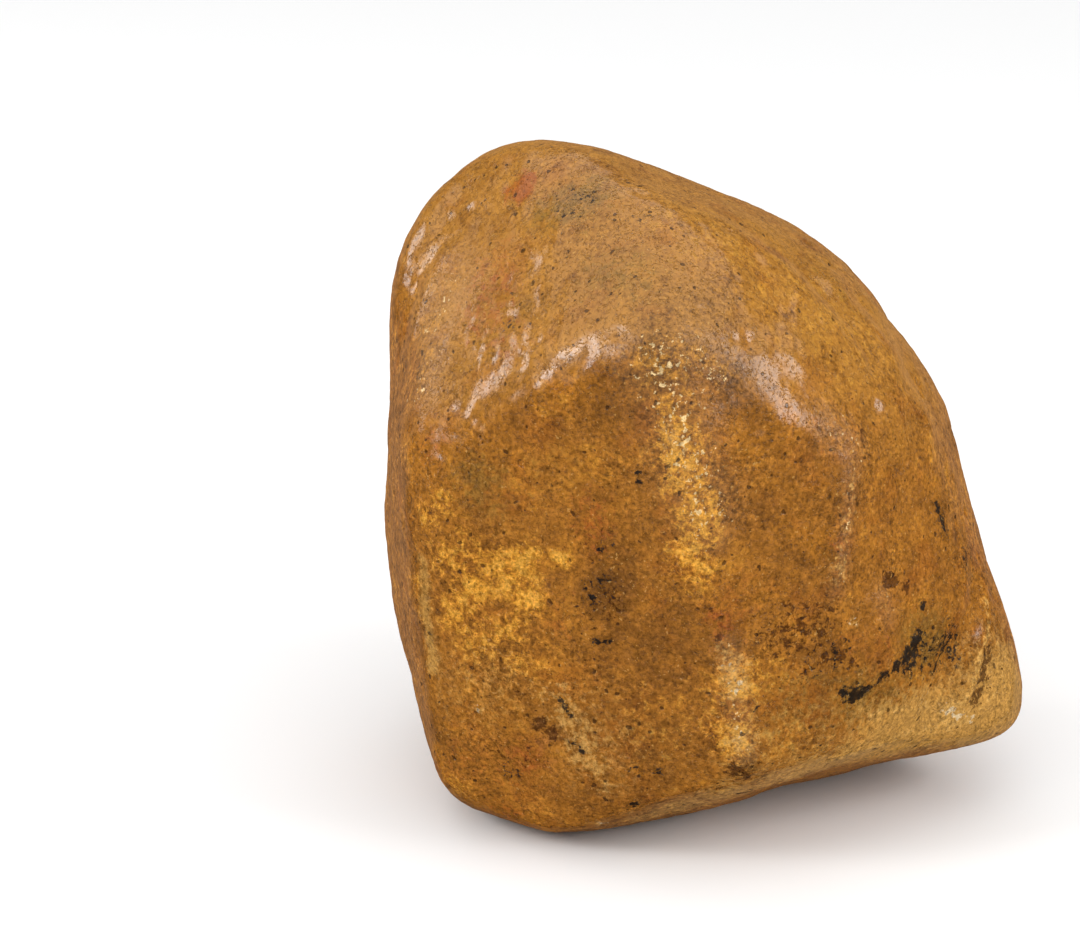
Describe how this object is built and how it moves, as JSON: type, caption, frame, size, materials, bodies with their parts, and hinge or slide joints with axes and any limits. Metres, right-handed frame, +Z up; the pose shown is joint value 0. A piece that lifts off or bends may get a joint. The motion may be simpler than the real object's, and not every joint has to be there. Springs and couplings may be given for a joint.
{
  "type": "rough bumblebee jasper boulder",
  "caption": "Rough bumblebee jasper: a river-rounded, honey-brown boulder with golden patches, dark manganese veins and pores, standing on a small flat sole.",
  "frame": {"origin": "centre of the box around the stone, on the level surface that it stands on", "axes": "+Z up; -Y out of the broad, darker front face; +X towards the low toe, which is on the right as the front face is looked at; the peak is high on the -X side"},
  "size_m": [0.1271, 0.1009, 0.1292],
  "materials": {
    "jasper": "worn smooth by water, slightly greasy gloss with fine pores"
  },
  "bodies": {
    "root": {"jasper_boulder": "jasper"}
  },
  "joints": []
}
